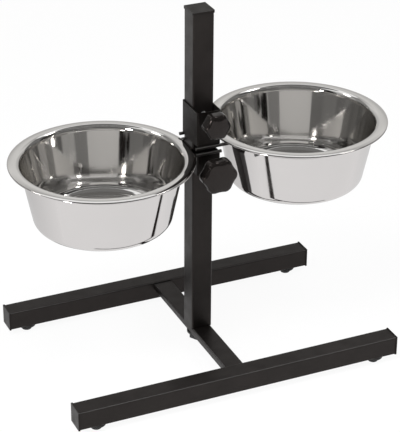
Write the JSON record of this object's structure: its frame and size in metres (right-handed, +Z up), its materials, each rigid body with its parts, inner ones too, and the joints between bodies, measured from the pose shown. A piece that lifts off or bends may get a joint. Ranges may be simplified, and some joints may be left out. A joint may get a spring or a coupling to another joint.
{
  "type": "dog feeder stand",
  "caption": "Height-adjustable dog feeder stand: black square-tube post on an H-shaped base, clamped sleeves with wire rings and lift-out polished steel bowls",
  "frame": {"origin": "on the floor, under the middle of the post", "axes": "+X along the base tubes to the right bowl, +Y to the rear, away from the knobs, +Z up"},
  "size_m": [0.483, 0.2764, 0.4615],
  "materials": {
    "powder_coat": "satin black powder coat with a fine grain",
    "cap_plastic": "black moulded plastic, satin",
    "knob_plastic": "black moulded plastic, semi-gloss",
    "foot_rubber": "black rubber, matt",
    "zinc_steel": "bright zinc plate",
    "black_steel": "blackened steel, satin",
    "bowl_steel": "mirror-polished stainless steel"
  },
  "bodies": {
    "stand": {"front_base_tube": "powder_coat", "rear_base_tube": "powder_coat", "cross_member": "powder_coat", "post": "powder_coat", "post_insert": "zinc_steel", "post_bolt": "black_steel", "post_washer": "black_steel", "post_cap": "cap_plastic", "front_left_end_cap": "cap_plastic", "front_right_end_cap": "cap_plastic", "rear_left_end_cap": "cap_plastic", "rear_right_end_cap": "cap_plastic", "front_left_foot": "foot_rubber", "front_right_foot": "foot_rubber", "rear_left_foot": "foot_rubber", "rear_right_foot": "foot_rubber", "foot_screws": "zinc_steel"},
    "right_holder": {"upper_sleeve": "powder_coat", "upper_clamp_nut": "zinc_steel", "right_ring": "powder_coat"},
    "upper_screw": {"upper_clamp_screw": "zinc_steel"},
    "upper_knob": {"upper_knob": "knob_plastic"},
    "right_bowl": {"right_bowl": "bowl_steel"},
    "left_holder": {"lower_sleeve": "powder_coat", "lower_clamp_nut": "zinc_steel", "left_ring": "powder_coat"},
    "lower_screw": {"lower_clamp_screw": "zinc_steel"},
    "lower_knob": {"lower_knob": "knob_plastic"},
    "left_bowl": {"left_bowl": "bowl_steel"}
  },
  "joints": [
    {"name": "right_holder_slide", "type": "slide", "parent": "stand", "child": "right_holder", "axis": [0, 0, 1], "range_m": [0, 0.11]},
    {"name": "left_holder_slide", "type": "slide", "parent": "stand", "child": "left_holder", "axis": [0, 0, 1], "range_m": [-0.17, 0]},
    {"name": "right_bowl_lift", "type": "slide", "parent": "right_holder", "child": "right_bowl", "axis": [0, 0, 1], "range_m": [0, 0.12]},
    {"name": "left_bowl_lift", "type": "slide", "parent": "left_holder", "child": "left_bowl", "axis": [0, 0, 1], "range_m": [0, 0.12]},
    {"name": "upper_screw_travel", "type": "slide", "parent": "right_holder", "child": "upper_screw", "axis": [0, -1, 0], "range_m": [0, 0.0025]},
    {"name": "lower_screw_travel", "type": "slide", "parent": "left_holder", "child": "lower_screw", "axis": [0, -1, 0], "range_m": [0, 0.0025]},
    {"name": "upper_knob_turn", "type": "hinge", "parent": "upper_screw", "child": "upper_knob", "pos_m": [0, -0.05, 0.33027], "axis": [0, -1, 0], "range_deg": [0, 720]},
    {"name": "lower_knob_turn", "type": "hinge", "parent": "lower_screw", "child": "lower_knob", "pos_m": [0, -0.05, 0.26843], "axis": [0, -1, 0], "range_deg": [0, 720]}
  ],
  "couplings": [
    {"joint": "upper_screw_travel", "follows": "upper_knob_turn", "m_per_rad": 0.00019894},
    {"joint": "lower_screw_travel", "follows": "lower_knob_turn", "m_per_rad": 0.00019894}
  ]
}
